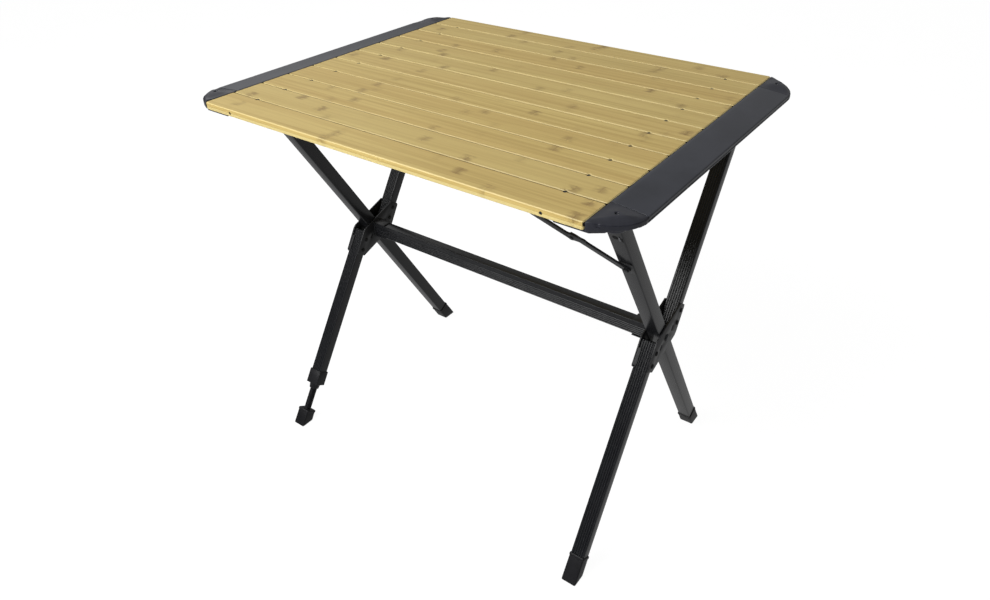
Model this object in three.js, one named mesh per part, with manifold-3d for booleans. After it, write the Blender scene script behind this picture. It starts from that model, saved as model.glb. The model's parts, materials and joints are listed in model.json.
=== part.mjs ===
// Folding camp side table: a slatted bamboo top on two end rails, carried by two scissor leg frames.
// Millimetres, +Z up. X runs along the slats, -Y is the front. The origin is on the floor under the
// middle of the top. Everything is drawn in the open, standing position.
import * as THREE from 'three';
import { mergeVertices } from 'three/addons/utils/BufferGeometryUtils.js';
import Module from 'manifold-3d';

const wasm = await Module();
wasm.setup();

// ---- driving dimensions -------------------------------------------------------------------------
const HEIGHT = 700;
const LENGTH = 809;
const GAP = 0.3;

// slatted top
const SLAT_COUNT = 11;
const SLAT_PITCH = 55.6;
const SLAT_WIDTH = 54.8;
const SLAT_LENGTH = 704;
const SLAT_THICK = 12;
const SLAT_BEVEL = 1.2;
const CORD_X = 292;
const CORD_R = 2;
const CORD_Z = HEIGHT - 6.4;
const CORD_HOLE_R = 2.4;

// end rails and corner caps
const RAIL_HALF = 243;
const RAIL_IN = SLAT_LENGTH / 2 + 0.4;
const RAIL_OUT = LENGTH / 2;
const RAIL_BASE = 675;
const LEDGE_IN = 318;
const LEDGE_TOP = HEIGHT - SLAT_THICK - GAP;
const RAIL_EDGE_TOP = 695;
const RAIL_LIP = 686;
const RAIL_BODY = 388;
const RAIL_WALL = 2.2;
const DEPTH_HALF = SLAT_PITCH * SLAT_COUNT / 2;

// leg frames: every leg passes the hub or is held beside it
const HUB_Y = -14;
const HUB_Z = 343;
const LEAN_A = 30;
const LEAN_B = 33.9;
const LEG_X = 330.3;
const LEG_W = 25;
const LEG_A_D = 24;
const LEG_B_D = 19.5;
const TUBE_WALL = 1.6;
const HALF_OFFSET = 24.4;
const HALF_END = 12;
const PIN_RADIUS_A = 356.8;
const LEG_A_TOP = PIN_RADIUS_A + 12;
const LEG_B_TOP = 368;
const FOOT_LEN = 42;
const FOOT_OVER = 1.1;
const PLUG_LEN = 18;

// hub plates, pins and bars
const PLATE_T = 2.5;
const PIN_R = 4;
const PIN_HOLE_R = 4.3;
const BAR_R = 9;
const STRETCH_H = 28;
const STRETCH_D = 19;
const STRETCH_Z = 347;
const STRETCH_Y = -14.5;

const rad = (degrees) => degrees * Math.PI / 180;

// ---- materials ----------------------------------------------------------------------------------
const bamboo = new THREE.MeshStandardMaterial({ color: 0xc9a866, roughness: 0.5, metalness: 0 });
const railPaint = new THREE.MeshStandardMaterial({ color: 0x41454d, roughness: 0.4, metalness: 0.5 });
const legPaint = new THREE.MeshStandardMaterial({ color: 0x3a3d42, roughness: 0.45, metalness: 0.6 });
const blackSteel = new THREE.MeshStandardMaterial({ color: 0x1d1e21, roughness: 0.5, metalness: 0.6 });
const capPlastic = new THREE.MeshStandardMaterial({ color: 0x2a2c32, roughness: 0.5, metalness: 0 });
const footRubber = new THREE.MeshStandardMaterial({ color: 0x1f2022, roughness: 0.75, metalness: 0 });
const cordElastic = new THREE.MeshStandardMaterial({ color: 0x151515, roughness: 0.9, metalness: 0 });
const pinSteel = new THREE.MeshStandardMaterial({ color: 0x6b6e73, roughness: 0.35, metalness: 0.9 });

// ---- geometry helpers ---------------------------------------------------------------------------
const AXES = {
  x: new THREE.Matrix4().set(0, 0, 1, 0, 1, 0, 0, 0, 0, 1, 0, 0, 0, 0, 0, 1),
  y: new THREE.Matrix4().set(1, 0, 0, 0, 0, 0, -1, 0, 0, 1, 0, 0, 0, 0, 0, 1),
  z: new THREE.Matrix4(),
};

// A closed outline swept along one axis from a to b. The outline is (Y,Z), (X,Z) or (X,Y).
function prism(axis, outline, a, b, holes = []) {
  const shape = new THREE.Shape(outline.map(([u, v]) => new THREE.Vector2(u, v)));
  const geometry = new THREE.ExtrudeGeometry(shape, { depth: b - a, bevelEnabled: false });
  geometry.translate(0, 0, axis === 'y' ? -b : a);
  geometry.applyMatrix4(AXES[axis]);
  if (holes.length === 0) {
    return geometry;
  }
  return joined([geometry], holes.map((hole) => prism(axis, hole, a - 1, b + 1)));
}

const box = (x0, x1, y0, y1, z0, z1) => prism('z', [[x0, y0], [x1, y0], [x1, y1], [x0, y1]], z0, z1);

function circle(u, v, r, count = 20) {
  const points = [];
  for (let i = 0; i < count; i += 1) {
    const angle = (i + 0.5) * 2 * Math.PI / count;
    points.push([u + r * Math.cos(angle), v + r * Math.sin(angle)]);
  }
  return points;
}

// A turned part: the profile is (distance along the axis, radius), starting and ending on the axis.
function turned(axis, profile, u, v, count = 24) {
  const points = profile.map(([along, radius]) => new THREE.Vector2(radius, along));
  const geometry = new THREE.LatheGeometry(points, count);
  geometry.rotateX(Math.PI / 2);
  geometry.translate(u, v, 0);
  return geometry.applyMatrix4(AXES[axis]);
}

const rod = (axis, u, v, r, a, b, count = 20) => prism(axis, circle(u, v, r, count), a, b);

function solid(geometry) {
  const bare = geometry.index ? geometry.toNonIndexed() : geometry.clone();
  bare.deleteAttribute('normal');
  bare.deleteAttribute('uv');
  const merged = mergeVertices(bare, 1e-4);
  return new wasm.Manifold(new wasm.Mesh({
    numProp: 3,
    vertProperties: new Float32Array(merged.attributes.position.array),
    triVerts: new Uint32Array(merged.index.array),
  }));
}

function surface(manifold) {
  const mesh = manifold.getMesh();
  const geometry = new THREE.BufferGeometry();
  geometry.setAttribute('position', new THREE.BufferAttribute(mesh.vertProperties, 3));
  geometry.setIndex(new THREE.BufferAttribute(mesh.triVerts, 1));
  return geometry;
}

function joined(geometries, cuts = []) {
  let body = solid(geometries[0]);
  for (const geometry of geometries.slice(1)) {
    body = body.add(solid(geometry));
  }
  for (const cut of cuts) {
    body = body.subtract(solid(cut));
  }
  return surface(body);
}

const common = (first, second) => surface(solid(first).intersect(solid(second)));

const table = new THREE.Group();

function add(parent, name, geometry, material) {
  const flat = geometry.index ? geometry.toNonIndexed() : geometry;
  flat.deleteAttribute('normal');
  flat.computeVertexNormals();
  const mesh = new THREE.Mesh(flat, material);
  mesh.name = name;
  parent.add(mesh);
  return mesh;
}

// The same piece on the other side: points are mirrored in X and the outline order is reversed.
function sided(side, outline) {
  const points = outline.map(([x, v]) => [side * x, v]);
  return side > 0 ? points : points.reverse();
}

const spanX = (side, a, b) => (side > 0 ? [a, b] : [-b, -a]);
const SIDES = [['left', -1], ['right', 1]];

// ---- slatted top --------------------------------------------------------------------------------
for (let i = 0; i < SLAT_COUNT; i += 1) {
  const y0 = -DEPTH_HALF + i * SLAT_PITCH + (SLAT_PITCH - SLAT_WIDTH) / 2;
  const y1 = y0 + SLAT_WIDTH;
  const z0 = HEIGHT - SLAT_THICK;
  const bevel = SLAT_BEVEL;
  const section = [
    [y0, z0 + bevel], [y0 + bevel, z0], [y1 - bevel, z0], [y1, z0 + bevel],
    [y1, HEIGHT - bevel], [y1 - bevel, HEIGHT], [y0 + bevel, HEIGHT], [y0, HEIGHT - bevel],
  ];
  const bores = [-CORD_X, CORD_X].map((x) => rod('y', x, CORD_Z, CORD_HOLE_R, y0 - 1, y1 + 1, 12));
  const slat = joined([prism('x', section, -SLAT_LENGTH / 2, SLAT_LENGTH / 2)], bores);
  add(table, `slat_${String(i + 1).padStart(2, '0')}`, slat, bamboo);
}
for (const [name, side] of SIDES) {
  const cord = rod('y', side * CORD_X, CORD_Z, CORD_R, -DEPTH_HALF + 1.2, DEPTH_HALF - 1.2, 12);
  add(table, `cord_${name}`, cord, cordElastic);
}

// ---- end rails: hollow extrusions with a ledge under the slat ends ---------------------------------
const railTop = (x) => {
  const t = (x - RAIL_IN) / (RAIL_OUT - RAIL_IN);
  return HEIGHT - (HEIGHT - RAIL_EDGE_TOP) * t ** 1.25;
};
const railSection = [
  [LEDGE_IN, RAIL_BASE], [RAIL_BODY, RAIL_BASE], [RAIL_BODY + 3, RAIL_LIP - 1.5],
  [RAIL_OUT - 1.2, RAIL_LIP], [RAIL_OUT, RAIL_LIP + 1.2],
  [RAIL_OUT, RAIL_EDGE_TOP - 1.6], [RAIL_OUT - 1.2, railTop(RAIL_OUT - 1.2)],
  [390, railTop(390)], [376, railTop(376)], [364, railTop(364)],
  [RAIL_IN + 0.6, HEIGHT], [RAIL_IN, HEIGHT - 0.6], [RAIL_IN, LEDGE_TOP], [LEDGE_IN, LEDGE_TOP],
];
const railChambers = [
  [[LEDGE_IN + RAIL_WALL, RAIL_BASE + RAIL_WALL], [RAIL_IN - 1, RAIL_BASE + RAIL_WALL],
    [RAIL_IN - 1, LEDGE_TOP - RAIL_WALL], [LEDGE_IN + RAIL_WALL, LEDGE_TOP - RAIL_WALL]],
  [[RAIL_IN + 1.8, RAIL_BASE + RAIL_WALL], [RAIL_BODY - 2, RAIL_BASE + RAIL_WALL],
    [RAIL_BODY + 1, RAIL_LIP + 1], [RAIL_OUT - RAIL_WALL, RAIL_LIP + RAIL_WALL],
    [RAIL_OUT - RAIL_WALL, RAIL_EDGE_TOP - 2.8], [380, railTop(380) - 2.4],
    [RAIL_IN + 1.8, railTop(RAIL_IN + 1.8) - 2.4]],
];
for (const [name, side] of SIDES) {
  const holes = railChambers.map((chamber) => sided(side, chamber));
  const rail = prism('y', sided(side, railSection), -RAIL_HALF, RAIL_HALF, holes);
  add(table, `end_rail_${name}`, rail, railPaint);
}

// ---- corner caps: rounded ends of the rails with a tongue under the first or last slat -------------
const CAP_START = RAIL_HALF + GAP;
const capPlan = [
  [RAIL_IN, CAP_START], [RAIL_OUT + 0.5, CAP_START], [RAIL_OUT - 0.2, 250], [402.4, 258], [399, 266.5],
  [394, 275], [387, 283.5], [378, 291], [368, 297.5], [358, 302], [RAIL_IN + 1, 304], [RAIL_IN, 304],
];
const capSection = [
  [RAIL_IN, 688], [RAIL_BODY, 688], [396, RAIL_LIP + 1], [RAIL_OUT, RAIL_LIP + 0.5],
  [RAIL_OUT, RAIL_EDGE_TOP - 1.6], [RAIL_OUT - 1.2, railTop(RAIL_OUT - 1.2)],
  [390, railTop(390)], [376, railTop(376)], [364, railTop(364)],
  [RAIL_IN + 0.6, HEIGHT], [RAIL_IN, HEIGHT - 0.6],
];
const capTongue = [
  [306, 300.5], [306, CAP_START + 3], [312, CAP_START], [372, CAP_START], [372, 289], [360, 297.5], [356, 300.5],
];
const capBoss = [[681.5, 0], [681.5, 13], [683, 16], [685, 17], [692, 17], [692, 0]];
for (const [name, side] of SIDES) {
  for (const [place, end] of [['front', -1], ['back', 1]]) {
    const turn = (outline) => sided(side * end, outline.map(([x, y]) => [x * end, y * end]));
    const crown = common(
      prism('z', turn(capPlan), 660, HEIGHT + 5),
      prism('y', sided(side, capSection), end > 0 ? 200 : -320, end > 0 ? 320 : -200),
    );
    const tongue = prism('z', turn(capTongue), 683.5, LEDGE_TOP);
    const skirt = [[LEDGE_IN, CAP_START], [RAIL_BODY, CAP_START], [RAIL_BODY, 247], [LEDGE_IN, 247]];
    const endWall = prism('z', turn(skirt), RAIL_BASE, LEDGE_TOP);
    const plug = box(...spanX(side, 359, 384), ...(end > 0 ? [228, 248] : [-248, -228]), 678.2, 684);
    const boss = turned('z', capBoss, side * 373, end * 269, 28);
    const screw = rod('z', side * 375, end * 268, 3, 695, 705, 16);
    add(table, `corner_cap_${place}_${name}`, joined([crown, tongue, endWall, boss, plug], [screw]), capPlastic);
  }
}

// ---- hinge brackets and runners under the rails ----------------------------------------------------
const HINGE_Y = HUB_Y - PIN_RADIUS_A * Math.sin(rad(LEAN_A));
const HINGE_Z = HUB_Z + PIN_RADIUS_A * Math.cos(rad(LEAN_A));
const BAR_Y = HUB_Y + PIN_RADIUS_A * Math.sin(rad(LEAN_A));
const LEG_IN = LEG_X - LEG_W / 2;
const LEG_OUT = LEG_X + LEG_W / 2;
const PLATE_IN = [LEG_IN - GAP - PLATE_T, LEG_IN - GAP];
const PLATE_OUT = [LEG_OUT + GAP, LEG_OUT + GAP + PLATE_T];
const cheek = [
  [HINGE_Y - 22, RAIL_BASE - GAP], [HINGE_Y - 13, HINGE_Z - 8], [HINGE_Y - 7, HINGE_Z - 13],
  [HINGE_Y + 7, HINGE_Z - 13], [HINGE_Y + 12, HINGE_Z - 8], [HINGE_Y + 16, RAIL_BASE - GAP],
];
for (const [name, side] of SIDES) {
  const base = box(
    ...spanX(side, PLATE_IN[0], PLATE_OUT[1]), HINGE_Y - 22, HINGE_Y + 16,
    RAIL_BASE - GAP - 2.5, RAIL_BASE - GAP,
  );
  const cheeks = [PLATE_IN, PLATE_OUT].map((span) => prism('x', cheek, ...spanX(side, ...span)));
  const hole = rod('x', HINGE_Y, HINGE_Z, PIN_HOLE_R, ...spanX(side, 300, 360));
  add(table, `hinge_bracket_${name}`, joined([base, ...cheeks], [hole]), blackSteel);

  const runner = [
    [-150, RAIL_BASE - GAP], [-146, HINGE_Z + BAR_R + GAP], [BAR_Y + BAR_R + GAP, HINGE_Z + BAR_R + GAP],
    [BAR_Y + BAR_R + GAP, HINGE_Z - 2], [BAR_Y + BAR_R + 4, HINGE_Z - 2],
    [BAR_Y + BAR_R + 13, RAIL_BASE - GAP],
  ].reverse();
  add(table, `bar_runner_${name}`, prism('x', runner, ...spanX(side, 321, 341)), capPlastic);
}

// ---- tubes: rectangular, small corner radius, the forward face of some carries fine grooves --------
function tubeOutline(w, d, groove) {
  const hw = w / 2;
  const hd = d / 2;
  const c = 1.4;
  const outline = [[-hw + c, -hd]];
  if (groove > 0) {
    const pitch = (w - 8) / groove;
    for (let i = 0; i < groove; i += 1) {
      const u = -hw + 4 + (i + 0.5) * pitch;
      outline.push([u - 0.9, -hd], [u - 0.5, -hd + 0.5], [u + 0.5, -hd + 0.5], [u + 0.9, -hd]);
    }
  }
  outline.push([hw - c, -hd], [hw, -hd + c], [hw, hd - c], [hw - c, hd]);
  outline.push([-hw + c, hd], [-hw, hd - c], [-hw, -hd + c]);
  return outline;
}

function bore(w, d) {
  const hw = w / 2 - TUBE_WALL;
  const hd = d / 2 - TUBE_WALL;
  return [[-hw, -hd], [-hw, hd], [hw, hd], [hw, -hd]];
}

function frame(lean) {
  const group = new THREE.Group();
  group.position.set(0, HUB_Y, HUB_Z);
  group.rotation.x = rad(lean);
  table.add(group);
  return group;
}

// In a leg frame Z runs up the leg from the hub and -Y is the face turned to the front.
const frameA = frame(LEAN_A);
const frameB = frame(-LEAN_B);
const floorAt = (lean, y) => (-HUB_Z - y * Math.sin(rad(lean))) / Math.cos(rad(lean));

// A foot: a block round the leg's end, cut level with the floor, with a plug inside the tube.
function footBlock(side, lean, y, depth, top) {
  const hw = LEG_W / 2 + FOOT_OVER;
  const hd = depth / 2 + FOOT_OVER;
  const outline = [
    [y - hd, top], [y - hd, floorAt(lean, y - hd)], [y + hd, floorAt(lean, y + hd)], [y + hd, top],
  ];
  const block = prism('x', outline, side * LEG_X - hw, side * LEG_X + hw);
  const pw = LEG_W / 2 - TUBE_WALL - GAP;
  const pd = depth / 2 - TUBE_WALL - GAP;
  const plug = box(side * LEG_X - pw, side * LEG_X + pw, y - pd, y + pd, top - 1, top + PLUG_LEN);
  return joined([block, plug]);
}

function tube(side, y, depth, groove, z0, z1) {
  const geometry = prism('z', tubeOutline(LEG_W, depth, groove), z0, z1, [bore(LEG_W, depth)]);
  return geometry.translate(side * LEG_X, y, 0);
}

// ---- leg A: one straight tube from the front hinge to the back foot --------------------------------
const FOOT_A_TOP = floorAt(LEAN_A, 0) + FOOT_LEN;
for (const [name, side] of SIDES) {
  const holes = [0, PIN_RADIUS_A].map((z) => rod('x', 0, z, PIN_HOLE_R, ...spanX(side, 310, 350)));
  const leg = joined([tube(side, 0, LEG_A_D, 0, FOOT_A_TOP + GAP, LEG_A_TOP)], holes);
  add(frameA, `leg_back_foot_${name}`, leg, legPaint);
  add(frameA, `foot_back_${name}`, footBlock(side, LEAN_A, 0, LEG_A_D, FOOT_A_TOP), footRubber);

  const hingePin = [
    [300, 0], [300, PIN_R - 0.6], [300.6, PIN_R], [PLATE_OUT[1] + GAP, PIN_R],
    [PLATE_OUT[1] + GAP, 7], [PLATE_OUT[1] + 1.6, 7], [PLATE_OUT[1] + 2.6, 5.5], [PLATE_OUT[1] + 2.6, 0],
  ];
  const placed = side > 0 ? hingePin : hingePin.map(([x, r]) => [-x, r]).reverse();
  add(frameA, `hinge_pin_${name}`, turned('x', placed, 0, PIN_RADIUS_A), pinSteel);

  const pivotPin = [
    [PLATE_IN[0] - GAP - 2, 0], [PLATE_IN[0] - GAP - 2, 6], [PLATE_IN[0] - GAP, 6.8],
    [PLATE_IN[0] - GAP, PIN_R], [PLATE_OUT[1] + GAP, PIN_R], [PLATE_OUT[1] + GAP, 6.8],
    [PLATE_OUT[1] + GAP + 2, 5.4], [PLATE_OUT[1] + GAP + 2, 0],
  ];
  const pin = side > 0 ? pivotPin : pivotPin.map(([x, r]) => [-x, r]).reverse();
  add(frameA, `pivot_pin_${name}`, turned('x', pin, 0, 0), pinSteel);
}
const frontBar = prism('x', circle(0, PIN_RADIUS_A, BAR_R, 24), -PLATE_IN[0] + GAP, PLATE_IN[0] - GAP,
  [circle(0, PIN_RADIUS_A, PIN_HOLE_R).reverse()]);
add(frameA, 'front_cross_bar', frontBar, legPaint);

// ---- leg B: an upper and a lower half, set either side of leg A and tied by the hub plates ----------
const FOOT_B_TOP = floorAt(-LEAN_B, -HALF_OFFSET) + FOOT_LEN;
const COLLAR_TOP = floorAt(-LEAN_B, -HALF_OFFSET) + 113;
const COLLAR_BOTTOM = COLLAR_TOP - 29;
const NECK_LEN = 10;
const STUD_R = 7;
const PAD_TOP = floorAt(-LEAN_B, -HALF_OFFSET) + 28;
const platePlan = [
  [33.5, 61], [14.5, 61], [-36, -6], [-37.5, -12], [-36, -58], [-33.5, -61],
  [-14.5, -61], [36, 6], [37.5, 12], [36, 58],
];
const slotAt = (y, z) => {
  const points = [];
  for (let i = 0; i < 16; i += 1) {
    const angle = (i + 0.5) * Math.PI / 8;
    const shift = Math.sin(angle) > 0 ? 3 : -3;
    points.push([y + 2.3 * Math.cos(angle), z + shift + 2.3 * Math.sin(angle)]);
  }
  return points;
};
const RIVETS = [[HALF_OFFSET, 28], [HALF_OFFSET, 50], [-HALF_OFFSET, -28], [-HALF_OFFSET, -50]];

function hubPlate(side, span, outward) {
  const holes = [circle(0, 0, PIN_HOLE_R).reverse(), slotAt(11.5, 18).reverse(), slotAt(-11.5, -18).reverse()];
  const plate = prism('x', platePlan, ...spanX(side, ...span), holes);
  const face = outward > 0 ? span[1] : span[0];
  const heads = RIVETS.map(([y, z]) => {
    const profile = outward > 0
      ? [[face - 1, 0], [face - 1, 4], [face + 0.8, 4], [face + 1.6, 2.6], [face + 1.6, 0]]
      : [[face - 1.6, 0], [face - 1.6, 2.6], [face - 0.8, 4], [face + 1, 4], [face + 1, 0]];
    const placed = side > 0 ? profile : profile.map(([x, r]) => [-x, r]).reverse();
    return turned('x', placed, y, z, 16);
  });
  return joined([plate, ...heads]);
}

for (const [name, side] of SIDES) {
  const levelling = side < 0;
  const lowEnd = levelling ? COLLAR_TOP : FOOT_B_TOP;
  const upper = tube(side, HALF_OFFSET, LEG_B_D, 6, HALF_END, LEG_B_TOP);
  const lower = tube(side, -HALF_OFFSET, LEG_B_D, 6, lowEnd + GAP, -HALF_END);
  add(frameB, `leg_upper_${name}`, upper, legPaint);
  add(frameB, `leg_lower_${name}`, lower, legPaint);
  add(frameB, `hub_plate_outer_${name}`, hubPlate(side, PLATE_OUT, 1), blackSteel);
  add(frameB, `hub_plate_inner_${name}`, hubPlate(side, PLATE_IN, -1), blackSteel);
}

// plain front foot on the right, screw-levelled front foot on the left
add(frameB, 'foot_front_right', footBlock(1, -LEAN_B, -HALF_OFFSET, LEG_B_D, FOOT_B_TOP), footRubber);
const collarW = LEG_W / 2 + 1.6;
const collarD = LEG_B_D / 2 + 1.6;
const collarPlug = [LEG_W / 2 - TUBE_WALL - GAP, LEG_B_D / 2 - TUBE_WALL - GAP];
const collarBody = box(-LEG_X - collarW, -LEG_X + collarW, -HALF_OFFSET - collarD, -HALF_OFFSET + collarD,
  COLLAR_BOTTOM, COLLAR_TOP);
const collarStem = box(-LEG_X - collarPlug[0], -LEG_X + collarPlug[0], -HALF_OFFSET - collarPlug[1],
  -HALF_OFFSET + collarPlug[1], COLLAR_TOP - 1, COLLAR_TOP + PLUG_LEN);
const collarNeck = turned('z', [
  [COLLAR_BOTTOM - NECK_LEN, 0], [COLLAR_BOTTOM - NECK_LEN, STUD_R + 2.2], [COLLAR_BOTTOM, STUD_R + 3.8],
  [COLLAR_BOTTOM + 1, STUD_R + 3.8], [COLLAR_BOTTOM + 1, 0],
], -LEG_X, -HALF_OFFSET, 24);
const collarBore = rod('z', -LEG_X, -HALF_OFFSET, STUD_R + GAP, COLLAR_BOTTOM - NECK_LEN - 1,
  COLLAR_TOP + PLUG_LEN + 1, 24);
add(frameB, 'levelling_collar', joined([collarBody, collarNeck, collarStem], [collarBore]), footRubber);
const padOutline = [-1, 1].map((sign) => -HALF_OFFSET + sign * (LEG_B_D / 2 + 1.1));
const pad = prism('x', [
  [padOutline[0], PAD_TOP], [padOutline[0], floorAt(-LEAN_B, padOutline[0])],
  [padOutline[1], floorAt(-LEAN_B, padOutline[1])], [padOutline[1], PAD_TOP],
], -LEG_X - LEG_W / 2 - 1.1, -LEG_X + LEG_W / 2 + 1.1);
const stud = rod('z', -LEG_X, -HALF_OFFSET, STUD_R, PAD_TOP - 1, COLLAR_TOP + 8, 24);
add(frameB, 'levelling_foot', joined([pad, stud]), footRubber);

// ---- bar between the tops of the B legs, held by gussets, and the stretcher at the hubs -------------
const relative = (y, z, lean) => {
  const dy = y - HUB_Y;
  const dz = z - HUB_Z;
  const c = Math.cos(rad(lean));
  const s = Math.sin(rad(lean));
  return [dy * c - dz * s, dy * s + dz * c];
};
const [barY, barZ] = relative(BAR_Y, HINGE_Z, LEAN_B);
add(frameB, 'back_cross_bar', prism('x', circle(barY, barZ, BAR_R, 24), -343, 343), legPaint);
const gusset = [
  [HALF_OFFSET - 8, LEG_B_TOP - 78], [HALF_OFFSET + 8, LEG_B_TOP - 78], [HALF_OFFSET + 8, LEG_B_TOP - 2],
  [HALF_OFFSET - 4, LEG_B_TOP], [barY + 4, barZ + 13], [barY - 6, barZ + 12], [barY - 12, barZ + 5],
  [barY - 12, barZ - 6],
];
for (const [name, side] of SIDES) {
  const hole = circle(barY, barZ, BAR_R + GAP, 24).reverse();
  add(frameB, `top_gusset_${name}`, prism('x', gusset, ...spanX(side, ...PLATE_IN), [hole]), blackSteel);
}

const level = new THREE.Group();
table.add(level);
const ribs = [];
for (let i = 0; i < 6; i += 1) {
  const z = -9.5 + i * 2.9;
  ribs.push([-STRETCH_D / 2, z - 0.8], [-STRETCH_D / 2 + 0.5, z - 0.4]);
  ribs.push([-STRETCH_D / 2 + 0.5, z + 0.4], [-STRETCH_D / 2, z + 0.8]);
}
const sh = STRETCH_H / 2;
const sd = STRETCH_D / 2;
const stretchSection = [
  [-sd, -sh + 1], ...ribs, [-sd, sh - 1], [-sd + 1, sh], [sd - 1, sh], [sd, sh - 1],
  [sd, -sh + 1], [sd - 1, -sh], [-sd + 1, -sh],
].reverse();
const stretchBore = [
  [-sd + 2.2, -sh + 2], [-sd + 2.2, sh - 2], [sd - 2, sh - 2], [sd - 2, -sh + 2],
].reverse();
const STRETCH_END = PLATE_IN[0] - GAP - PLATE_T - GAP;
const stretcher = prism('x', stretchSection, -STRETCH_END, STRETCH_END, [stretchBore]);
add(level, 'stretcher', stretcher.translate(0, STRETCH_Y, STRETCH_Z), legPaint);
for (const [name, side] of SIDES) {
  const x0 = STRETCH_END - 26;
  const x1 = STRETCH_END + GAP;
  const x2 = PLATE_IN[0] - GAP;
  const top = STRETCH_Z + sh + GAP;
  const bottom = STRETCH_Z - sh - GAP;
  const clip = sided(side, [
    [x0, top], [x1, top], [x1, bottom], [x0, bottom], [x0, bottom - 2], [x2, bottom - 2],
    [x2, top + 2], [x0, top + 2],
  ]).reverse();
  const clearance = rod('x', HUB_Y, HUB_Z, 7.2, ...spanX(side, x1 - 1, x2 + 1), 24);
  const body = prism('y', clip, STRETCH_Y - sd - 1, STRETCH_Y + sd + 1);
  add(level, `stretcher_clip_${name}`, joined([body], [clearance]), blackSteel);
}

// ---- elbow stay on the right: from leg A to the front cross bar -------------------------------------
const STAY_LOW = [LEG_X + 1.7, 243];
const STAY_HIGH = [165, PIN_RADIUS_A];
const STAY_REACH = Math.hypot(STAY_HIGH[0] - STAY_LOW[0], STAY_HIGH[1] - STAY_LOW[1]);
const STAY_ANGLE = Math.atan2(STAY_HIGH[1] - STAY_LOW[1], STAY_HIGH[0] - STAY_LOW[0]);
const STAY_ELBOW = 90;
const STAY_W = 5.5;
const onStay = (along, across) => [
  STAY_LOW[0] + along * Math.cos(STAY_ANGLE) - across * Math.sin(STAY_ANGLE),
  STAY_LOW[1] + along * Math.sin(STAY_ANGLE) + across * Math.cos(STAY_ANGLE),
];
const FACE_Y = -LEG_A_D / 2 - GAP;
const stayBase = box(STAY_LOW[0] - 10, STAY_LOW[0] + 10, FACE_Y - 2, FACE_Y, STAY_LOW[1] - 12, STAY_LOW[1] + 12);
const stayBoss = rod('y', STAY_LOW[0], STAY_LOW[1], 3, FACE_Y - 8, FACE_Y - 1);
const stayHead = rod('y', STAY_LOW[0], STAY_LOW[1], 4.5, FACE_Y - 8, FACE_Y - 5.6);
add(frameA, 'stay_bracket', joined([stayBase, stayBoss, stayHead]), blackSteel);

const Y_LOWER = [FACE_Y - 5.3, FACE_Y - 2.3];
const Y_UPPER = [FACE_Y - 8.6, FACE_Y - 5.6];
const lowerPlan = [
  onStay(-5.5, -3.5), onStay(-5.5, 3.5), onStay(-3, STAY_W), onStay(STAY_ELBOW - 3, STAY_W),
  onStay(STAY_ELBOW + 5, 4), onStay(STAY_ELBOW + 5, -4), onStay(STAY_ELBOW - 3, -STAY_W),
  onStay(STAY_ELBOW - 18, -STAY_W), onStay(-3, -STAY_W),
];
const [elbowX, elbowZ] = onStay(STAY_ELBOW, 0);
const lowerLink = joined(
  [prism('y', lowerPlan, ...Y_LOWER), rod('y', elbowX, elbowZ, 3, Y_UPPER[0] - 1.4, Y_LOWER[1])],
  [rod('y', STAY_LOW[0], STAY_LOW[1], 3.3, Y_LOWER[0] - 1, Y_LOWER[1] + 1)],
);
add(frameA, 'stay_lower', lowerLink, blackSteel);
const upperPlan = [
  onStay(STAY_ELBOW - 22, -13), onStay(STAY_ELBOW - 16, -15), onStay(STAY_ELBOW + 2, -10),
  onStay(STAY_ELBOW + 10, -STAY_W), onStay(STAY_REACH - 2.8, -STAY_W), onStay(STAY_REACH - 2.8, 2.8),
  onStay(STAY_REACH + 2.8, 2.8), onStay(STAY_REACH + 2.8, -STAY_W + 1), onStay(STAY_REACH + 5.5, -2.5),
  onStay(STAY_REACH + 5.5, 3), onStay(STAY_REACH + 2, STAY_W + 1), onStay(STAY_REACH - 8, STAY_W + 1),
  onStay(STAY_REACH - 14, STAY_W), onStay(STAY_ELBOW - 3, STAY_W), onStay(STAY_ELBOW - 6, 2),
  onStay(STAY_ELBOW - 20, -7),
];
const upperLink = joined(
  [prism('y', upperPlan, ...Y_UPPER)],
  [rod('y', elbowX, elbowZ, 3.3, Y_UPPER[0] - 1, Y_UPPER[1] + 1)],
);
add(frameA, 'stay_upper', upperLink, blackSteel);
const anchorRing = prism('x', circle(0, PIN_RADIUS_A, BAR_R + 3.2, 28), 158, 172,
  [circle(0, PIN_RADIUS_A, BAR_R + GAP, 28).reverse()]);
const anchorPost = rod('y', STAY_HIGH[0], STAY_HIGH[1], 2.2, Y_UPPER[0] - 1.4, -10, 16);
add(frameA, 'stay_anchor', joined([anchorRing, anchorPost]), blackSteel);

export default table;
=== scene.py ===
"""Looks of the folding slatted table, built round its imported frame. Metres, +Z up, front is -Y."""
import json
import math

import bmesh
import bpy
from mathutils import Matrix, Vector

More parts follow.
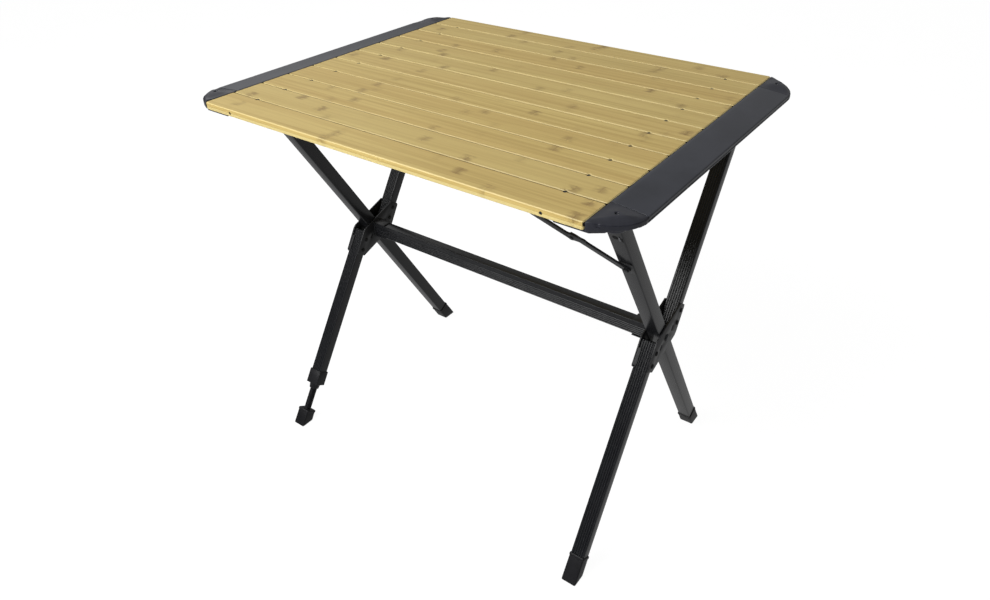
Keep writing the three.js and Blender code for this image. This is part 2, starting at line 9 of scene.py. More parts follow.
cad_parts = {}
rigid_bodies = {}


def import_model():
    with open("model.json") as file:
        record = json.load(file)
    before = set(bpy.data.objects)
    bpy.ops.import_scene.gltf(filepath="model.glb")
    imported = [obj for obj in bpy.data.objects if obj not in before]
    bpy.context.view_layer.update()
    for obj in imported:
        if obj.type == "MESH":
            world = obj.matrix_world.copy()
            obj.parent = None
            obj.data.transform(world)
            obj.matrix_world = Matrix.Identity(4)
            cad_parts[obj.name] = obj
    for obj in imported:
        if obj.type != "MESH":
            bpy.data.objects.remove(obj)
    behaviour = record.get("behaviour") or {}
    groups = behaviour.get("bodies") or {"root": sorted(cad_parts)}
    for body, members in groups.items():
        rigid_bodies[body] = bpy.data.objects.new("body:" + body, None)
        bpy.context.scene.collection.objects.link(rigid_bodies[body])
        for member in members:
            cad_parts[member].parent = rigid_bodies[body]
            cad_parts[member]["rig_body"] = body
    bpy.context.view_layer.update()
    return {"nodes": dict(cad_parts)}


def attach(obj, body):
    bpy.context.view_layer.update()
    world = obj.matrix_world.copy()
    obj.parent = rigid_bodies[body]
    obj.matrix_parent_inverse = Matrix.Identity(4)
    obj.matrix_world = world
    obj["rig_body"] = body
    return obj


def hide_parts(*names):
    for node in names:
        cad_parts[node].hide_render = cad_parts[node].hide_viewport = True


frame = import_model()

# ---- dimensions in millimetres, as in the part's source ----------------------------------------
MM = 0.001
HEIGHT = 700.0
SLAT_COUNT, SLAT_PITCH, SLAT_WIDTH, SLAT_LENGTH, SLAT_THICK = 11, 55.6, 54.8, 704.0, 12.0
DEPTH_HALF = SLAT_COUNT * SLAT_PITCH / 2
CORD_X, CORD_Z, CORD_HOLE_R = 292.0, 693.6, 2.4
RAIL_HALF, RAIL_IN, RAIL_OUT, RAIL_BASE, RAIL_EDGE_TOP = 243.0, 352.4, 404.5, 675.0, 695.0
RAIL_LIP, RAIL_BODY = 686.0, 388.0
LEDGE_IN, LEDGE_TOP = 318.0, 687.7
CAP_START = 243.3
CAP_SCREW = (375.0, 268.0)
HUB_Y, HUB_Z, LEAN_A, LEAN_B = -14.0, 343.0, 30.0, -33.9
LEG_X, LEG_W, LEG_A_D, LEG_B_D = 330.3, 25.0, 24.0, 19.5
HALF_OFFSET, HALF_END, PIN_RADIUS_A = 24.4, 12.0, 356.8
LEG_A_TOP, LEG_B_TOP, FOOT_LEN = 368.8, 368.0, 42.0
PLATE_IN, PLATE_OUT = (315.0, 317.5), (343.1, 345.6)
STRETCH_H, STRETCH_D, STRETCH_Y, STRETCH_Z, STRETCH_END = 28.0, 19.0, -14.5, 347.0, 311.9
SIDES = (("left", -1), ("right", 1))


def leg_frame(lean):
    return Matrix.Translation((0, HUB_Y, HUB_Z)) @ Matrix.Rotation(math.radians(lean), 4, "X")


FRAME_A, FRAME_B = leg_frame(LEAN_A), leg_frame(LEAN_B)
UPRIGHT = Matrix.Identity(4)
ALONG_X = Matrix(((0, 0, 1, 0), (1, 0, 0, 0), (0, 1, 0, 0), (0, 0, 0, 1)))
ALONG_Y = Matrix(((1, 0, 0, 0), (0, 0, 1, 0), (0, 1, 0, 0), (0, 0, 0, 1)))


def floor_at(lean, y):
    """Height along a leg frame at which it meets the floor."""
    return (-HUB_Z - y * math.sin(math.radians(lean))) / math.cos(math.radians(lean))


# ---- camera, lights and floor -------------------------------------------------------------------
def make_camera():
    azimuth, elevation, roll = (math.radians(a) for a in (34.595, 31.981, -0.432))
    lens_mm, shift_right, shift_up = 27.92, -0.043636, -0.041111
    back = Vector((
        math.sin(azimuth) * math.cos(elevation),
        -math.cos(azimuth) * math.cos(elevation),
        math.sin(elevation),
    ))
    right = Vector((math.cos(azimuth), math.sin(azimuth), 0))
    up = back.cross(right)
    right, up = (
        math.cos(roll) * right + math.sin(roll) * up,
        math.cos(roll) * up - math.sin(roll) * right,
    )
    data = bpy.data.cameras.new("camera")
    data.sensor_width = 36.0
    data.lens = lens_mm
    data.shift_x = shift_right
    data.shift_y = shift_up
    data.clip_start = 0.05
    camera = bpy.data.objects.new("camera", data)
    camera.matrix_world = Matrix((
        (right.x, up.x, back.x, 0.745),
        (right.y, up.y, back.y, -0.967),
        (right.z, up.z, back.z, 1.130),
        (0, 0, 0, 1),
    ))
    bpy.context.scene.collection.objects.link(camera)
    bpy.context.scene.camera = camera


def area_light(name, place, target, size, power, mirrored=True):
    data = bpy.data.lights.new(name, "AREA")
    data.shape = "DISK"
    data.size = size
    data.energy = power
    light = bpy.data.objects.new(name, data)
    light.visible_glossy = mirrored
    light.location = place
    light.rotation_euler = (Vector(target) - Vector(place)).to_track_quat("-Z", "Y").to_euler()
    bpy.context.scene.collection.objects.link(light)


# ---- mesh helpers: outlines and rings in millimetres --------------------------------------------
def rounded_rect(width, depth, radius, steps=4):
    """Corner-rounded rectangle, anticlockwise from the lower left corner."""
    points = []
    for corner, (sx, sy) in enumerate(((-1, -1), (1, -1), (1, 1), (-1, 1))):
        cx, cy = sx * (width / 2 - radius), sy * (depth / 2 - radius)
        for step in range(steps + 1):
            angle = math.pi + (corner + step / steps) * math.pi / 2
            points.append((cx + radius * math.cos(angle), cy + radius * math.sin(angle)))
    return points


def fluted_rect(width, depth, radius, start, pitch, count, groove=2.0, sink=0.6):
    """A rounded rectangle whose lower side carries rounded flutes along the extrusion."""
    corner = 5
    outline = rounded_rect(width, depth, radius)
    flutes = []
    for i in range(count):
        middle = start + i * pitch
        for step in range(7):
            u = -1 + step / 3
            flutes.append((middle + u * groove / 2, -depth / 2 + sink * (1 - u * u)))
    return outline[:corner] + flutes + outline[corner:]


def inset(outline, distance):
    """Moves every point of an anticlockwise outline inwards along its own normal."""
    moved = []
    for i, point in enumerate(outline):
        before, after = Vector(outline[i - 1]), Vector(outline[(i + 1) % len(outline)])
        here = Vector(point)
        first = (here - before).normalized()
        second = (after - here).normalized()
        normal = Vector((-(first.y + second.y), first.x + second.x))
        normal.normalize()
        lean = max(0.5, normal.dot(Vector((-first.y, first.x))))
        moved.append(tuple(here + normal * distance / lean))
    return moved


def loft(rings):
    """Closed skin through rings of equal length, with a flat face on the first and last."""
    verts = [tuple(point) for ring in rings for point in ring]
    n = len(rings[0])
    faces = [tuple(reversed(range(n))), tuple(range(len(verts) - n, len(verts)))]
    for level in range(len(rings) - 1):
        base = level * n
        for i in range(n):
            j = (i + 1) % n
            faces.append((base + i, base + j, base + n + j, base + n + i))
    return verts, faces


def rounded_prism(outline, low, high, radius=0.5, steps=2):
    """An outline swept from low to high whose two rims are rounded."""
    turns = [step / steps * math.pi / 2 for step in range(steps + 1)]
    rings = []
    for turn in turns:
        edge = inset(outline, radius * (1 - math.sin(turn)))
        rings.append([(x, y, low + radius * (1 - math.cos(turn))) for x, y in edge])
    for turn in reversed(turns):
        edge = inset(outline, radius * (1 - math.sin(turn)))
        rings.append([(x, y, high - radius * (1 - math.cos(turn))) for x, y in edge])
    return loft(rings)


def turned(profile, count=28):
    """A turned shape round the local third axis: (height, radius) pairs, bottom to top."""
    rings = []
    for height, radius in profile:
        ring = []
        for i in range(count):
            angle = i * 2 * math.pi / count
            reach = max(radius, 0.02)
            ring.append((reach * math.cos(angle), reach * math.sin(angle), height))
        rings.append(ring)
    return loft(rings)


def moved(shape, matrix):
    verts, faces = shape
    return [tuple(matrix @ Vector(v)) for v in verts], faces


def together(*shapes):
    verts, faces = [], []
    for shape_verts, shape_faces in shapes:
        shift = len(verts)
        verts += shape_verts
        faces += [tuple(i + shift for i in face) for face in shape_faces]
    return verts, faces


def dress(obj, material, body, nodes=(), sharp=32):
    """Material, smooth shading with sharp edges, the body it rides on and the CAD it stands for."""
    mesh = obj.data
    mesh.materials.clear()
    mesh.materials.append(material)
    mesh.shade_smooth()
    mesh.set_sharp_from_angle(angle=math.radians(sharp))
    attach(obj, body)
    if nodes:
        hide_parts(*nodes)
    return obj


def raw_object(name, shape, matrix=UPRIGHT):
    verts, faces = shape
    mesh = bpy.data.meshes.new(name)
    mesh.from_pydata([tuple((matrix @ Vector(v)) * MM) for v in verts], [], faces)
    work = bmesh.new()
    work.from_mesh(mesh)
    bmesh.ops.remove_doubles(work, verts=work.verts, dist=2e-6)
    bmesh.ops.recalc_face_normals(work, faces=work.faces)
    work.to_mesh(mesh)
    work.free()
    obj = bpy.data.objects.new(name, mesh)
    bpy.context.scene.collection.objects.link(obj)
    return obj


def piece(name, shape, material, body, nodes=(), matrix=UPRIGHT, sharp=32):
    return dress(raw_object(name, shape, matrix), material, body, nodes, sharp)


def baked(obj):
    """Replaces an object's mesh with its evaluated one, and drops its modifiers."""
    graph = bpy.context.evaluated_depsgraph_get()
    mesh = bpy.data.meshes.new_from_object(obj.evaluated_get(graph))
    obj.modifiers.clear()
    obj.data = mesh
    return obj


def cut(obj, cutter):
    modifier = obj.modifiers.new("cut", "BOOLEAN")
    modifier.operation = "DIFFERENCE"
    modifier.solver = "EXACT"
    modifier.object = cutter
    bpy.context.view_layer.update()
    baked(obj)
    bpy.data.objects.remove(cutter)
    return obj


def cad_copy(node, name):
    """A separate, welded copy of a CAD node's mesh, to be refined and shown in its place."""
    mesh = frame["nodes"][node].data.copy()
    mesh.name = name
    work = bmesh.new()
    work.from_mesh(mesh)
    bmesh.ops.remove_doubles(work, verts=work.verts, dist=2e-6)
    bmesh.ops.dissolve_limit(
        work, angle_limit=math.radians(0.8), verts=work.verts, edges=work.edges
    )
    bmesh.ops.recalc_face_normals(work, faces=work.faces)
    work.to_mesh(mesh)
    work.free()
    if "custom_normal" in mesh.attributes:
        mesh.attributes.remove(mesh.attributes["custom_normal"])
    obj = bpy.data.objects.new(name, mesh)
    bpy.context.scene.collection.objects.link(obj)
    return obj


def softened(node, name, material, rim=0.4, steps=2, angle=30):
    """A CAD node shown with its edges rounded."""
    obj = cad_copy(node, name)
    bevel = obj.modifiers.new("rim", "BEVEL")
    bevel.width = rim * MM
    bevel.segments = steps
    bevel.limit_method = "ANGLE"
    bevel.angle_limit = math.radians(angle)
    bevel.use_clamp_overlap = True
    bpy.context.view_layer.update()
    baked(obj)
    return dress(obj, material, frame["nodes"][node]["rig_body"], (node,))


# ---- materials ----------------------------------------------------------------------------------
class Shader:
    """A material and short names for adding its nodes."""

    def __init__(self, name, colour, roughness, metallic=0.0):
        self.material = bpy.data.materials.new(f"fine_{name}")
        self.material["slot"] = name
        self.material.use_nodes = True
        self.tree = self.material.node_tree
        self.bsdf = self.tree.nodes["Principled BSDF"]
        self.bsdf.inputs["Base Color"].default_value = (*colour, 1)
        self.bsdf.inputs["Roughness"].default_value = roughness
        self.bsdf.inputs["Metallic"].default_value = metallic
        self.place = self.tree.nodes.new("ShaderNodeTexCoord").outputs["Object"]

    def put(self, socket, value):
        if isinstance(value, bpy.types.NodeSocket):
            self.tree.links.new(value, socket)
        elif value is not None:
            socket.default_value = value

    def math(self, operation, first, second=None, third=None):
        node = self.tree.nodes.new("ShaderNodeMath")
        node.operation = operation
        for socket, value in zip(node.inputs, (first, second, third)):
            self.put(socket, value)
        return node.outputs[0]

    def stretch(self, scale):
        node = self.tree.nodes.new("ShaderNodeMapping")
        self.put(node.inputs["Vector"], self.place)
        node.inputs["Scale"].default_value = scale
        return node.outputs[0]

    def noise(self, scale, detail=3.0, rough=0.55):
        node = self.tree.nodes.new("ShaderNodeTexNoise")
        self.put(node.inputs["Vector"], self.stretch(scale))
        node.inputs["Scale"].default_value = 1.0
        node.inputs["Detail"].default_value = detail
        node.inputs["Roughness"].default_value = rough
        return node.outputs["Fac"]

    def cells(self, scale):
        node = self.tree.nodes.new("ShaderNodeTexVoronoi")
        self.put(node.inputs["Vector"], self.stretch(scale))
        node.inputs["Scale"].default_value = 1.0
        return node.outputs["Distance"]

    def white(self, first, second=0.0):
        node = self.tree.nodes.new("ShaderNodeTexWhiteNoise")
        node.noise_dimensions = "2D"
        join = self.tree.nodes.new("ShaderNodeCombineXYZ")
        self.put(join.inputs[0], first)
        self.put(join.inputs[1], second)
        self.put(node.inputs["Vector"], join.outputs[0])
        return node.outputs["Value"]

    def ramp(self, factor, low, high, out_low=0.0, out_high=1.0):
        node = self.tree.nodes.new("ShaderNodeMapRange")
        node.interpolation_type = "SMOOTHSTEP"
        for socket, value in zip(node.inputs, (factor, low, high, out_low, out_high)):
            self.put(socket, value)
        return node.outputs[0]

    def mix(self, factor, first, second):
        node = self.tree.nodes.new("ShaderNodeMix")
        node.data_type = "RGBA"
        self.put(node.inputs[0], factor)
        for socket, value in ((node.inputs[6], first), (node.inputs[7], second)):
            self.put(socket, (*value, 1) if isinstance(value, tuple) else value)
        return node.outputs[2]

    def bump(self, height, distance, strength=1.0):
        node = self.tree.nodes.new("ShaderNodeBump")
        node.inputs["Strength"].default_value = strength
        node.inputs["Distance"].default_value = distance
        self.put(node.inputs["Height"], height)
        self.put(self.bsdf.inputs["Normal"], node.outputs[0])

    def edge_wear(self):
        """Bright on worn outer edges, from the mesh's own curvature."""
        geometry = self.tree.nodes.new("ShaderNodeNewGeometry")
        return self.ramp(geometry.outputs["Pointiness"], 0.53, 0.62)

    def colour(self, value):
        self.put(self.bsdf.inputs["Base Color"], value)

    def roughness(self, value):
        self.put(self.bsdf.inputs["Roughness"], value)


def bamboo():
    """Laminated strips with nodes at random places, painted shade on the slat walls below the chamfer,
    and a paler cut on each chamfer that also serves as a painted highlight.
    """
    s = Shader("bamboo", (0.58, 0.44, 0.17), 0.45)
    split = s.tree.nodes.new("ShaderNodeSeparateXYZ")
    s.put(split.inputs[0], s.place)
    x, y, z = split.outputs
    from_front = s.math("ADD", y, DEPTH_HALF * MM)
    lamella = s.math("FLOOR", s.math("DIVIDE", from_front, SLAT_PITCH * MM / 3))
    slat = s.math("FLOOR", s.math("DIVIDE", from_front, SLAT_PITCH * MM))
    tone = s.white(lamella, 3.0)
    board = s.white(slat, 11.0)

    node_gap = 0.235
    along = s.math("ADD", s.math("DIVIDE", x, node_gap), s.math("MULTIPLY", tone, 9.0))
    cell = s.math("FLOOR", along)
    jitter = s.white(lamella, cell)
    centre = s.math("MULTIPLY_ADD", jitter, 0.5, 0.25)
    bend = s.math("MULTIPLY", s.math("SUBTRACT", s.noise((9, 130, 130), 2), 0.5), 0.035)
    offset = s.math("SUBTRACT", s.math("FRACT", along), s.math("ADD", centre, bend))
    gap = s.math("MULTIPLY", s.math("ABSOLUTE", offset), node_gap)
    patch = s.ramp(s.noise((60, 100, 100), 3, 0.6), 0.34, 0.56)
    strength = s.ramp(s.white(cell, lamella), 0.15, 0.95, 0.1, 1.0)
    smudge = s.math("MULTIPLY", s.math("MULTIPLY", s.ramp(gap, 0.014, 0.002), patch), strength)
    line = s.math("MULTIPLY", s.ramp(gap, 0.0016, 0.0002), s.math("MULTIPLY", strength, 0.5))

    fibre = s.noise((7, 900, 900), 4, 0.65)
    streak = s.noise((2.2, 130, 130), 3, 0.6)
    cloud = s.noise((5, 14, 14), 2, 0.5)
    dash = s.ramp(s.noise((35, 1500, 1500), 2, 0.5), 0.62, 0.74)

    pale, deep, brown = (0.61, 0.465, 0.165), (0.43, 0.30, 0.09), (0.19, 0.11, 0.033)
    base = s.mix(s.ramp(streak, 0.36, 0.70), pale, deep)
    base = s.mix(s.math("MULTIPLY", s.ramp(fibre, 0.35, 0.7), 0.28), base, deep)
    base = s.mix(s.math("MULTIPLY", s.ramp(tone, 0.0, 1.0), 0.38), base, (0.50, 0.34, 0.11))
    base = s.mix(s.math("MULTIPLY", s.ramp(board, 0.1, 1.0), 0.4), base, (0.55, 0.44, 0.17))
    base = s.mix(s.math("MULTIPLY", s.ramp(cloud, 0.35, 0.7), 0.25), base, (0.49, 0.345, 0.11))
    base = s.mix(s.math("MULTIPLY", dash, 0.22), base, brown)
    base = s.mix(s.math("MULTIPLY", smudge, 0.6), base, brown)
    base = s.mix(s.math("MULTIPLY", line, 0.8), base, brown)
    layer = s.ramp(z, (HEIGHT - 6.0) * MM, (HEIGHT - 6.3) * MM)
    glue = s.math("MULTIPLY", s.ramp(z, (HEIGHT - 5.4) * MM, (HEIGHT - 5.9) * MM),
                  s.ramp(z, (HEIGHT - 6.8) * MM, (HEIGHT - 6.3) * MM))
    base = s.mix(s.math("MULTIPLY", layer, 0.45), base, (0.74, 0.64, 0.30))
    base = s.mix(s.math("MULTIPLY", glue, 0.4), base, (0.33, 0.22, 0.05))
    # painted shade: every slat wall from just under the chamfer down to about 6 mm is darkened almost
    # to black, except the front face
    painted_seam_shade = s.math("MULTIPLY", s.ramp(z, (HEIGHT - 1.2) * MM, (HEIGHT - 1.5) * MM),
                  s.ramp(z, (HEIGHT - 8) * MM, (HEIGHT - 6) * MM))
    painted_seam_shade = s.math("MULTIPLY", painted_seam_shade, s.ramp(y, (1.2 - DEPTH_HALF) * MM, (2.0 - DEPTH_HALF) * MM))
    base = s.mix(painted_seam_shade, base, (0.02, 0.012, 0.006))
    # the chamfer band is paler, partly as cut fibres and partly as a painted highlight along every
    # seam
    rim = s.math("MULTIPLY", s.ramp(z, (HEIGHT - 0.1) * MM, (HEIGHT - 0.35) * MM),
                 s.ramp(z, (HEIGHT - 1.3) * MM, (HEIGHT - 1.1) * MM))
    base = s.mix(s.math("MULTIPLY", rim, 0.45), base, (0.80, 0.68, 0.33))
    s.colour(base)
    s.roughness(s.math("MULTIPLY_ADD", fibre, 0.16, 0.46))
    s.bump(s.math("ADD", fibre, s.math("MULTIPLY", smudge, -0.5)), 0.00006, 0.6)
    return s.material


def powder_coat(name, colour, roughness, worn=0.3):
    """Baked paint with a fine orange-peel surface, slight mottling and paler worn edges."""
    s = Shader(name, colour, roughness)
    s.bsdf.inputs["Specular IOR Level"].default_value = 0.36
    fine = s.noise((1100, 1100, 1100), 2, 0.5)
    cloud = s.noise((14, 14, 14), 3, 0.6)
    dark = tuple(c * 0.86 for c in colour)
    light = tuple(min(1.0, c * 1.12 + 0.003) for c in colour)
    base = s.mix(s.ramp(cloud, 0.3, 0.7), dark, light)
    edge = s.math("MULTIPLY", s.edge_wear(), worn)
    base = s.mix(edge, base, tuple(c * 2.2 + 0.03 for c in colour))
    s.colour(base)
    s.roughness(s.math("ADD", s.math("MULTIPLY", fine, 0.14), roughness - 0.07))
    s.bump(fine, 0.000004, 0.15)
    return s.material


def moulded(name, colour, roughness, grain=900, depth=0.00005):
    """Moulded plastic or rubber with a fine spark-eroded grain."""
    s = Shader(name, colour, roughness)
    s.bsdf.inputs["Specular IOR Level"].default_value = 0.36
    pebble = s.cells((grain, grain, grain))
    cloud = s.noise((30, 30, 30), 3, 0.6)
    dark = tuple(c * 0.85 for c in colour)
    light = tuple(c * 1.15 for c in colour)
    base = s.mix(s.ramp(cloud, 0.3, 0.75), dark, light)
    base = s.mix(s.math("MULTIPLY", s.edge_wear(), 0.25), base, tuple(c * 2 + 0.02 for c in colour))
    s.colour(base)
    s.roughness(s.math("MULTIPLY_ADD", s.ramp(cloud, 0.2, 0.8), 0.12, roughness - 0.06))
    s.bump(pebble, depth, 0.6)
    return s.material


def woven_cord():
    """Covered elastic cord: a fine braid round the line of the cord."""
    s = Shader("cord", (0.012, 0.012, 0.013), 0.8)
    split = s.tree.nodes.new("ShaderNodeSeparateXYZ")
    s.put(split.inputs[0], s.place)
    across = s.math("MULTIPLY", split.outputs[2], 2600.0)
    along = s.math("MULTIPLY", split.outputs[1], 2600.0)
    braid = s.math("MULTIPLY", s.math("SINE", s.math("ADD", along, across)),
                   s.math("SINE", s.math("SUBTRACT", along, across)))
    s.colour(s.mix(s.ramp(braid, -0.6, 0.8), (0.008, 0.008, 0.009), (0.03, 0.03, 0.032)))
    s.bump(braid, 0.0002, 0.6)
    return s.material


def pin_metal():
    """Blackened steel with fine turning marks."""
    s = Shader("pin_steel", (0.03, 0.03, 0.033), 0.4, 0.5)
    marks = s.noise((2200, 160, 160), 2, 0.5)
    s.colour(s.mix(s.ramp(marks, 0.3, 0.7), (0.02, 0.021, 0.023), (0.045, 0.046, 0.05)))
    s.roughness(s.math("MULTIPLY_ADD", marks, 0.2, 0.3))
    s.bump(marks, 0.00002, 0.5)
    return s.material


def pale_floor():
    s = Shader("floor", (0.1, 0.1, 0.1), 0.9)
    s.colour(s.mix(s.noise((3, 3, 3), 2), (0.09, 0.09, 0.09), (0.11, 0.11, 0.11)))
    s.bsdf.inputs["Specular IOR Level"].default_value = 0.0
    s.bsdf.inputs["Emission Color"].default_value = (1, 1, 1, 1)
    s.bsdf.inputs["Emission Strength"].default_value = 0.95
    return s.material


BAMBOO = bamboo()
RAIL = powder_coat("rail_paint", (0.024, 0.026, 0.034), 0.34)
LEG = powder_coat("leg_paint", (0.0045, 0.0048, 0.0060), 0.25)
TAB = powder_coat("black_steel", (0.075, 0.077, 0.084), 0.35)
STEEL = powder_coat("black_steel", (0.012, 0.0122, 0.0135), 0.36)
PLASTIC = moulded("black_plastic", (0.021, 0.022, 0.030), 0.33)
RUBBER = moulded("foot_rubber", (0.0045, 0.0045, 0.0058), 0.5, 700, 0.00004)
# near-black: the rivet heads' own colour; where it fills the plate slots and marks the leg's hole and
# slit it is painted shade
PIT = moulded("black_steel", (0.002, 0.002, 0.0022), 0.75)
CORD = woven_cord()
PIN = pin_metal()


# ---- slatted top --------------------------------------------------------------------------------
def slat_outline(y0, y1, notch_low, notch_high):
    """Plan of one slat: rounded corners, and a small relief for the cord where two slats meet."""
    x1, corner, relief = SLAT_LENGTH / 2 - 0.8, 3.0, 2.3
    points = []

    def arc(cx, cy, radius, start, sweep, steps):
        for step in range(steps + 1):
            angle = math.radians(start + sweep * step / steps)
            points.append((cx + radius * math.cos(angle), cy + radius * math.sin(angle)))

    arc(-x1 + corner, y0 + corner, corner, 180, 90, 5)
    if notch_low:
        arc(-CORD_X, y0, relief, 180, -180, 8)
        arc(CORD_X, y0, relief, 180, -180, 8)
    arc(x1 - corner, y0 + corner, corner, 270, 90, 5)
    arc(x1 - corner, y1 - corner, corner, 0, 90, 5)
    if notch_high:
        arc(CORD_X, y1, relief, 0, -180, 8)
        arc(-CORD_X, y1, relief, 0, -180, 8)
    arc(-x1 + corner, y1 - corner, corner, 90, 90, 5)
    return points


for index in range(SLAT_COUNT):
    node = f"slat_{index + 1:02d}"
    near = -DEPTH_HALF + index * SLAT_PITCH + (SLAT_PITCH - SLAT_WIDTH) / 2
    far = near + SLAT_WIDTH
    plan = slat_outline(near + 0.6, far - 0.6, index > 0, index < SLAT_COUNT - 1)
    board = raw_object(
        f"bamboo_{node}", rounded_prism(plan, HEIGHT - SLAT_THICK, HEIGHT, 1.2, 1)
    )
    bore = [(near - 2, CORD_HOLE_R + 0.9), (near + 0.5, CORD_HOLE_R), (far - 0.5, CORD_HOLE_R),
            (far + 2, CORD_HOLE_R + 0.9)]
    bores = [
        moved(turned(bore, 20), Matrix.Translation((x, 0, CORD_Z)) @ ALONG_Y)
        for x in (-CORD_X, CORD_X)
    ]
    cut(board, raw_object("bores", together(*bores)))
    dress(board, BAMBOO, "slat_top", (node,), 40)
for name, side in SIDES:
    cord = [
        (-DEPTH_HALF + 1.2, 1.6), (-DEPTH_HALF + 1.6, 2.0), (DEPTH_HALF - 1.6, 2.0),
        (DEPTH_HALF - 1.2, 1.6),
    ]
    strand = moved(turned(cord, 20), Matrix.Translation((side * CORD_X, 0, CORD_Z)) @ ALONG_Y)
    knots = [strand]
    for gap in range(1, SLAT_COUNT):
        bead = [(-3.2, 1.6), (-2.6, 2.4), (5.0, 2.4), (5.6, 1.9)]
        knots.append(moved(turned(bead, 16), Matrix.Translation(
            (side * CORD_X, -DEPTH_HALF + gap * SLAT_PITCH, CORD_Z))))
    piece(f"elastic_cord_{name}", together(*knots), CORD, "slat_top", (f"cord_{name}",))


# ---- end rails ----------------------------------------------------------------------------------
def rail_top(x):
    t = max(0.0, (x - RAIL_IN) / (RAIL_OUT - RAIL_IN))
    return HEIGHT - (HEIGHT - RAIL_EDGE_TOP) * t ** 1.25


def rail_section():
    """Section of an end rail, anticlockwise: ledge, lipped side, rounded edge, falling top."""
    points = [
        (LEDGE_IN, RAIL_BASE + 0.6), (LEDGE_IN + 0.6, RAIL_BASE), (RAIL_BODY - 1.0, RAIL_BASE),
        (RAIL_BODY, RAIL_BASE + 0.8), (RAIL_BODY + 3, RAIL_LIP - 2.2),
        (RAIL_BODY + 4, RAIL_LIP - 1.4), (RAIL_OUT - 1.6, RAIL_LIP), (RAIL_OUT - 0.4, RAIL_LIP + 0.3),
        (RAIL_OUT, RAIL_LIP + 1.1), (RAIL_OUT, RAIL_LIP + 1.9), (RAIL_OUT - 1.0, RAIL_LIP + 2.5),
        (RAIL_OUT - 1.0, RAIL_LIP + 3.3), (RAIL_OUT - 0.1, RAIL_LIP + 3.9),
        (RAIL_OUT, RAIL_EDGE_TOP - 1.7),
    ]
    for step in range(1, 6):
        angle = math.radians(step * 15)
        x = RAIL_OUT - 1.7 * (1 - math.cos(angle))
        points.append((x, RAIL_EDGE_TOP - 1.7 + 1.9 * math.sin(angle)))
    for step in range(12):
        x = RAIL_OUT - 3.2 - step * (RAIL_OUT - 3.2 - RAIL_IN - 0.9) / 11
        points.append((x, rail_top(x)))
    points += [(RAIL_IN + 0.25, HEIGHT - 0.3), (RAIL_IN, HEIGHT - 0.9), (RAIL_IN, LEDGE_TOP),
               (LEDGE_IN + 0.6, LEDGE_TOP), (LEDGE_IN, LEDGE_TOP - 0.6)]
    return points


for name, side in SIDES:
    mirror = Matrix.Diagonal((side, 1, 1, 1))
    section = rounded_prism(rail_section(), -RAIL_HALF, RAIL_HALF, 0.15, 1)
    piece(f"rail_{name}", section, RAIL, "top_frame", (f"end_rail_{name}",), mirror @ ALONG_Y, 28)


# ---- corner caps --------------------------------------------------------------------------------
CAP_RIM = [
    (RAIL_OUT, CAP_START), (RAIL_OUT - 0.2, 250), (402.4, 258), (399, 266.5), (394, 275), (387, 283.5),
    (378, 291), (368, 297.5), (358, 302), (353, 304),
]


def rim_distance(x, y):
    """Distance from a plan point to the cap's curved outer rim."""
    best = 1e9
    for first, second in zip(CAP_RIM, CAP_RIM[1:]):
        a, b, p = Vector(first), Vector(second), Vector((x, y))
        t = min(1.0, max(0.0, (p - a).dot(b - a) / (b - a).length_squared))
        best = min(best, (p - a - (b - a) * t).length)
    return best


def smooth_step(value):
    value = min(1.0, max(0.0, value))
    return value * value * (3 - 2 * value)


def corner_cap(node, name, side, end):
    """The moulded cap: the CAD block rounded all over, its top crowned and dimpled."""
    obj = cad_copy(node, name)
    remesh = obj.modifiers.new("voxels", "REMESH")
    remesh.mode = "VOXEL"
    remesh.voxel_size = 0.0009
    relax = obj.modifiers.new("relax", "SMOOTH")
    relax.factor = 0.5
    relax.iterations = 5
    bpy.context.view_layer.update()
    baked(obj)
    for vert in obj.data.vertices:
        x, y, z = vert.co.x * side / MM, vert.co.y * end / MM, vert.co.z / MM
        if x < RAIL_IN - 0.5 or z < rail_top(x) - 4.5:
            continue
        edge = rim_distance(x, y)
        crown = smooth_step((y - CAP_START) / 26) * smooth_step((x - RAIL_IN + 1) / 26)
        crown *= smooth_step(edge / 12)
        rolled = smooth_step((4 - edge) / 4) * smooth_step((y - CAP_START) / 6)
        corner = math.exp(-((x - 356) ** 2 + (y - 298) ** 2) / 40.0)
        dimple = math.exp(-((x - CAP_SCREW[0]) ** 2 + (y - CAP_SCREW[1]) ** 2) / 12.0)
        notch = math.exp(-((x - 366) / 2.2) ** 2) * smooth_step((6 - edge) / 6)
        vert.co.z += (4.6 * crown + 1.2 * corner - 1.0 * rolled - 0.7 * dimple) * MM
        vert.co.y -= 1.1 * notch * end * MM
    slim = obj.modifiers.new("slim", "DECIMATE")
    slim.ratio = 0.35
    bpy.context.view_layer.update()
    baked(obj)
    return dress(obj, PLASTIC, "top_frame", (node,), 60)


for name, side in SIDES:
    for place, end in (("front", -1), ("back", 1)):
        corner_cap(f"corner_cap_{place}_{name}", f"cap_{place}_{name}", side, end)


# ---- feet and legs ------------------------------------------------------------------------------
def foot(side, lean, y, depth, top):
    """Rubber shoe with a rolled rim, a groove under it and a level, softly rounded sole."""
    outline = rounded_rect(LEG_W + 2.2, depth + 2.2, 2.4)
    rings = []
    for edge, height in ((2.4, 0), (0.6, 0.2), (-0.3, -0.2), (-0.7, -1.2), (-0.7, -3.4), (-0.3, -4.6),
                         (0.3, -5.4), (0.2, -7.0)):
        rings.append([(side * LEG_X + u, y + v, top + height) for u, v in inset(outline, edge)])
    for edge, lift in ((0, 2.0), (0.3, 0.8), (1.2, 0.0)):
        ring = []
        for u, v in inset(outline, edge):
            ring.append((side * LEG_X + u, y + v, floor_at(lean, y + v) + lift))
        rings.append(ring)
    return loft(list(reversed(rings)))


def leg_tube(outline, side, y, low, high):
    shape = rounded_prism(outline, low, high, 0.35, 1)
    return moved(shape, Matrix.Translation((side * LEG_X, y, 0)))


